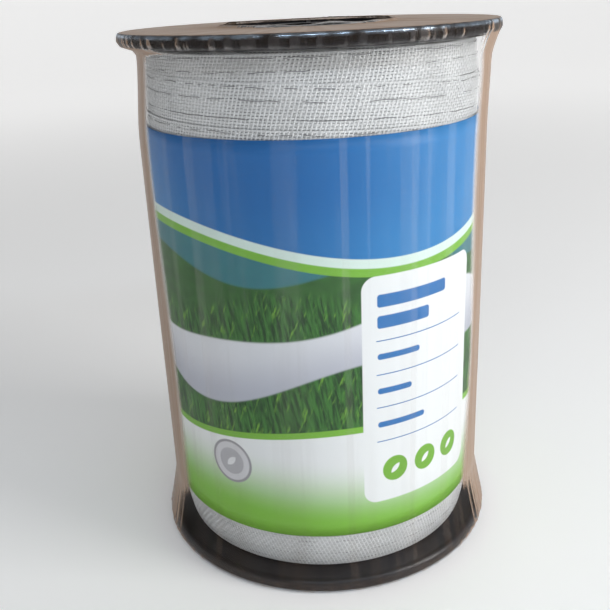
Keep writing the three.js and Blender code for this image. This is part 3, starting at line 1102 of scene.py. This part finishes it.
class REEL_OT_film(bpy.types.Operator):
    """Shrinks the clear film over the reel, pleated round both rims and torn open at both hubs."""

    bl_idname = "reel.film"
    bl_label = "Shrink Film"

    COLUMNS = 640
    LIP_SHARES = (0.0, 0.010, 0.024, 0.045, 0.09, 0.25, 0.5, 0.75, 1.0)
    EDGE_SHINE = (0.0, 0.5, 1.0, 0.3)
    WALL_STEPS = 3
    FLARE_STEPS = 15
    FLARE_LENGTH = 0.042
    WAIST_STEPS = 9

    def ripple(self, angle, lowest, highest, seed):
        """A smooth wave round the reel, made of whole numbers of waves."""
        chance = np.random.default_rng(seed)
        waves = np.arange(lowest, highest + 1)
        phases = chance.uniform(0, TURN, len(waves))
        return np.cos(np.outer(angle, waves) + phases).sum(axis=1) / math.sqrt(len(waves))

    def pleats(self, angle, count, seed):
        """Narrow ridges of uneven width and height round the reel, from 0 to 1."""
        chance = np.random.default_rng(seed)
        places = (np.arange(count) + chance.uniform(-0.38, 0.38, count)) * TURN / count
        widths = chance.uniform(0.20, 0.42, count) * TURN / count
        heights = chance.uniform(0.15, 1.0, count) ** 1.4
        apart = np.angle(np.exp(1j * (angle[:, None] - places[None, :])))
        return np.clip((heights * np.exp(-((apart / widths) ** 2))).sum(axis=1), 0, 1)

    def lip_rows(self, f, spool, angle, seed, curl, pleat):
        """The flat end of the film, from its torn and rolled opening out to the rim."""
        torn = self.ripple(angle, 2, 9, seed + 1) * 0.0008 + self.ripple(angle, 12, 26, seed + 2) * 0.00022
        rise = curl * np.clip(1 + 0.25 * self.ripple(angle, 3, 12, seed + 3), 0.3, 1.8)
        sag = self.ripple(angle, 5, 16, seed + 4)
        opening = f.opening + torn
        face = spool.lower_face - f.stand_off
        shoulder = spool.flange_radius - spool.outer_edge
        outward_fold = 1.0 if curl > 0 else 0.3
        rows = []
        for share in self.LIP_SHARES:
            lip = rise * math.exp(-((share / 0.030) ** 2))
            fold = (1 - share) ** 2 * 0.00016 * pleat + (1 - share) * share * 0.00012 * (sag + 1.5)
            # the film is painted dark just at its torn opening, as painted shade in the hole round the hub
            rows.append(FilmRow(
                opening + (shoulder - opening) * share, face - lip - fold * outward_fold,
                pleat=pleat * (1 - share) ** 3 * 0.5, bead=math.exp(-((share / 0.012) ** 2)),
            ))
        return rows

    def rim_rows(self, f, spool, angle, seed, pleat):
        """The film round a rim's edge, with a broken painted highlight along it, and along the rim's wall.
        """
        glint = np.clip(0.7 + 0.5 * self.ripple(angle, 9, 70, seed + 5), 0, 1)
        shoulder = spool.flange_radius - spool.outer_edge
        bend = spool.outer_edge + f.stand_off
        middle = spool.lower_face + spool.outer_edge
        rows = []
        for step, shine in enumerate(self.EDGE_SHINE, start=1):
            share = step / len(self.EDGE_SHINE)
            turn = -math.pi / 2 + share * math.pi / 2
            reach = bend + 0.00008 * pleat * step
            rows.append(FilmRow(
                shoulder + reach * math.cos(turn), middle + reach * math.sin(turn),
                pleat=pleat * 0.15 * step, rim_band=share, crease=glint * shine,
            ))
        rim = spool.flange_radius + f.stand_off
        wall_end = spool.lower_face + spool.flange_depth - spool.inner_edge
        for step in range(1, self.WALL_STEPS + 1):
            reach = 0.00024 + 0.00010 * step
            rows.append(FilmRow(
                rim + reach * pleat, middle + (wall_end - middle) * step / self.WALL_STEPS,
                pleat=pleat * (0.6 + 0.13 * step), rim_band=1.0,
            ))
        return rows

    def flare_rows(self, f, spool, pleat, neck, drop, power):
        """The film's fall from the rim to its neck, from where it eases to the waist."""
        rim = spool.flange_radius + f.stand_off
        wall_end = spool.lower_face + spool.flange_depth - spool.inner_edge
        rows = []
        for step in range(1, self.FLARE_STEPS + 1):
            inside = self.FLARE_LENGTH * (step / self.FLARE_STEPS) ** 1.5
            share = np.clip(inside / drop, 0, 1)
            ease = np.clip((inside - drop * 0.6) / (self.FLARE_LENGTH - drop * 0.6), 0, 1)
            rest = neck + (f.waist - neck) * ease * ease * (3 - 2 * ease)
            radius = rest + (rim - neck) * (1 - share) ** power
            if inside < spool.inner_edge:
                under = math.sqrt(1 - (inside / spool.inner_edge) ** 2) * spool.inner_edge
                edge = spool.flange_radius - spool.inner_edge + under + f.stand_off
                radius = np.maximum(radius, edge)
            fade = np.clip(1 - inside / (1.6 * drop), 0, 1) ** 1.3
            rows.append(FilmRow(
                radius + 0.00026 * pleat * fade, wall_end + inside,
                pleat=pleat * fade, rim_band=max(0.0, 1 - inside / 0.002),
            ))
        return rows

    def end_rows(self, f, spool, angle, seed, curl, neck, drop, power):
        """One half of the film, from its opening to its waist."""
        pleat = self.pleats(angle, f.pleats, seed)
        return [
            *self.lip_rows(f, spool, angle, seed, curl, pleat),
            *self.rim_rows(f, spool, angle, seed, pleat),
            *self.flare_rows(f, spool, pleat, neck, drop, power),
        ]

    def all_rows(self, f, spool, angle):
        """The whole film from its lower opening to its upper one, as one grid for each share."""
        right = np.sin(angle)
        total = spool.lower_face + spool.upper_face
        low = self.end_rows(
            f, spool, angle, 5, -0.0005, f.waist,
            0.023 + 0.0012 * self.ripple(angle, 2, 5, 31), 1.06 + 0.05 * self.ripple(angle, 2, 6, 32),
        )
        high = self.end_rows(
            f, spool, angle, 11, 0.0011, 0.0748 + 0.0018 * right + 0.0002 * self.ripple(angle, 2, 7, 35),
            0.0085 + 0.0035 * right + 0.0008 * self.ripple(angle, 2, 6, 33), 1.5 - 0.1 * right,
        )
        high = [row._replace(height=total - row.height) for row in high]
        start, end = low[-1].height, high[-1].height
        waist = [
            FilmRow(f.waist, start + (end - start) * step / self.WAIST_STEPS)
            for step in range(1, self.WAIST_STEPS)
        ]
        rows = [*low, *waist, *reversed(high)]
        return FilmRow(*(
            np.stack([np.broadcast_to(value, angle.shape) for value in part]).astype(float)
            for part in zip(*rows)
        ))

    def waves(self, angle, level):
        """How far slack folds and taut stretches move the film's side in and out."""
        row = np.arange(len(level))
        on_side = np.clip((row - 18) / 6, 0, 1)
        on_side = np.minimum(on_side, on_side[::-1])[:, None]
        body = np.sin(np.clip((level - 0.02) / 0.96, 0, 1) * math.pi) ** 0.5 * on_side
        folds = self.ripple(angle, 6, 15, 41)[None, :] * np.cos(level * 5.0 + 0.6)
        folds = folds + self.ripple(angle, 9, 24, 42)[None, :] * np.sin(level * 9.0 + 1.3)
        taut = self.ripple(angle, 1, 4, 43)[None, :] * np.sin(level * 7.0)
        return body * (0.00011 * folds + 0.00012 * taut)

    def snag(self, angle, height, total):
        """A small torn tag that stands out on the left, under the upper rim."""
        across = np.angle(np.exp(1j * (angle + math.radians(88)))) / math.radians(1.6)
        along = (height - (total - 0.0128)) / 0.0011
        return 0.0009 * np.exp(-across[None, :] ** 2 - along ** 2)

    def skin(self, place, wall):
        """Points and faces of a closed skin of this wall over a grid of places round the reel."""
        along = np.gradient(place, axis=0)
        beside = np.roll(place, -1, axis=1) - np.roll(place, 1, axis=1)
        normal = np.cross(beside, along)
        normal /= np.linalg.norm(normal, axis=-1, keepdims=True)
        outer, inner = place + normal * wall, place
        count = outer.shape[0] * outer.shape[1]
        grid = np.arange(count).reshape(outer.shape[:2])
        beyond = np.roll(grid, -1, axis=1)
        sides = np.stack([grid[:-1], beyond[:-1], beyond[1:], grid[1:]], axis=-1).reshape(-1, 4)
        lips = []
        for row, flip in ((0, False), (-1, True)):
            ring = np.stack([grid[row], grid[row] + count, beyond[row] + count, beyond[row]], axis=-1)
            lips.append(ring[:, ::-1] if flip else ring)
        points = np.concatenate([outer.reshape(-1, 3), inner.reshape(-1, 3)])
        return points, np.concatenate([sides, sides[:, ::-1] + count, *lips])

    def execute(self, context):
        f = context.scene.reel_film
        spool = context.scene.reel_spool
        angle = np.arange(self.COLUMNS) * TURN / self.COLUMNS
        total = spool.lower_face + spool.upper_face
        film = self.all_rows(f, spool, angle)
        radius = film.radius + self.waves(angle, film.height / total) + self.snag(angle, film.height, total)
        place = np.stack([radius * np.sin(angle), -radius * np.cos(angle), film.height], axis=-1)
        points, faces = self.skin(place, f.wall)
        name = "film_wrap"
        mesh = bpy.data.meshes.new(name)
        mesh.from_pydata(points.tolist(), [], faces.tolist())
        for label in ("pleat", "rim_band", "bead", "crease"):
            share = mesh.attributes.new(label, "FLOAT", "POINT")
            share.data.foreach_set("value", np.tile(getattr(film, label).ravel(), 2).astype(np.float32))
        smooth(mesh)
        mesh.materials.append(shrink_film_plastic(f))
        finish(new_object(name, mesh), ["shrink_film"])
        return {"FINISHED"}


class REEL_OT_stage(bpy.types.Operator):
    """Sets the floor, the soft light and the camera."""

    bl_idname = "reel.stage"
    bl_label = "Set Stage"

    def softbox(self, name, place, target, size, power, tint):
        lamp = bpy.data.lights.new(name, "AREA")
        lamp.shape = "RECTANGLE"
        lamp.size, lamp.size_y = size
        lamp.energy = power
        lamp.color = tint
        box = new_object(name, lamp)
        box.location = place
        box.rotation_euler = (Vector(target) - Vector(place)).to_track_quat("-Z", "Y").to_euler()

    def floor(self, s):
        """A wide flat floor whose far edge curves up into a backdrop on all sides."""
        facets, flat, curve = 96, 2.2, 1.3
        outline = [(1.2, 0.0), (flat, 0.0)]
        for angle in np.linspace(0.1, 1.35, 14):
            outline.append((flat + curve * math.sin(angle), curve - curve * math.cos(angle)))
        points = [(0.0, 0.0, 0.0)]
        for radius, height in outline:
            for angle in np.arange(facets) * TURN / facets:
                points.append((radius * math.sin(angle), -radius * math.cos(angle), height))
        faces = [(1 + i, 1 + (i + 1) % facets, 0) for i in range(facets)]
        for ring in range(len(outline) - 1):
            low, high = 1 + ring * facets, 1 + (ring + 1) * facets
            for i in range(facets):
                after = (i + 1) % facets
                faces.append((high + i, high + after, low + after, low + i))
        mesh = bpy.data.meshes.new("floor")
        mesh.from_pydata(points, [], faces)
        smooth(mesh)
        mesh.materials.append(floor_paint(s))
        return new_object("floor", mesh)

    def execute(self, context):
        s = context.scene.reel_stage
        scene = context.scene
        self.floor(s)

        world = bpy.data.worlds.new("studio")
        world.use_nodes = True
        sky = world.node_tree.nodes["Background"]
        sky.inputs["Color"].default_value = (1.0, 0.98, 0.96, 1.0)
        sky.inputs["Strength"].default_value = 0.23
        scene.world = world
        scene.view_settings.view_transform = "Standard"

        self.softbox("key", (1.15, -0.48, 0.62), (0, 0, 0.10), (0.6, 0.9), 12.5, (1.0, 0.99, 0.97))
        self.softbox("window", (0.30, -1.20, 1.25), (0, 0, 0.2), (1.9, 0.16), 8.0, (0.78, 0.89, 1.0))
        self.softbox("fill", (-0.9, -0.5, 0.5), (0, 0, 0.12), (0.7, 0.7), 0.15, (1.0, 0.84, 0.68))
        self.softbox("top", (0.2, 0.3, 1.5), (0, 0, 0), (1.6, 1.6), 4.2, (1.0, 1.0, 1.0))

        lens = bpy.data.cameras.new("camera")
        lens.sensor_width = 36.0
        lens.lens = s.lens
        lens.clip_start = 0.01
        camera = new_object("camera", lens)
        down, left = s.pitch, s.yaw
        ahead = Vector((math.sin(left) * math.cos(down), math.cos(left) * math.cos(down), -math.sin(down)))
        right = ahead.cross(Vector((0, 0, 1))).normalized()
        up = right.cross(ahead)
        lean_cos, lean_sin = math.cos(s.roll), math.sin(s.roll)
        side = right * lean_cos - up * lean_sin
        top = right * lean_sin + up * lean_cos
        turn = Matrix((side, top, -ahead)).transposed().to_4x4()
        camera.matrix_world = Matrix.Translation((0, -s.distance, s.height)) @ turn
        scene.camera = camera
        return {"FINISHED"}


OPERATORS = (REEL_OT_spool, REEL_OT_tape, REEL_OT_sleeve, REEL_OT_film, REEL_OT_stage)


class REEL_PT_panel(bpy.types.Panel):
    """Lists the reel's sizes and the steps that build it."""

    bl_idname = "REEL_PT_panel"
    bl_label = "Fence Tape Reel"
    bl_space_type = "VIEW_3D"
    bl_region_type = "UI"
    bl_category = "Fence Reel"

    def draw(self, context):
        for name, operator in zip(SIZE_GROUPS, OPERATORS):
            box = self.layout.box()
            sizes = getattr(context.scene, name)
            for size in type(sizes).__annotations__:
                box.prop(sizes, size)
            box.operator(operator.bl_idname)


CLASSES = (*SIZE_GROUPS.values(), *OPERATORS, REEL_PT_panel)


def register():
    for cls in CLASSES:
        bpy.utils.register_class(cls)
    for name, group in SIZE_GROUPS.items():
        setattr(bpy.types.Scene, name, PointerProperty(type=group))


def unregister():
    for name in SIZE_GROUPS:
        delattr(bpy.types.Scene, name)
    for cls in reversed(CLASSES):
        bpy.utils.unregister_class(cls)


def main():
    register()
    bpy.ops.reel.spool()
    bpy.ops.reel.tape()
    bpy.ops.reel.sleeve()
    bpy.ops.reel.film()
    bpy.ops.reel.stage()


if __name__ == "__main__":
    main()
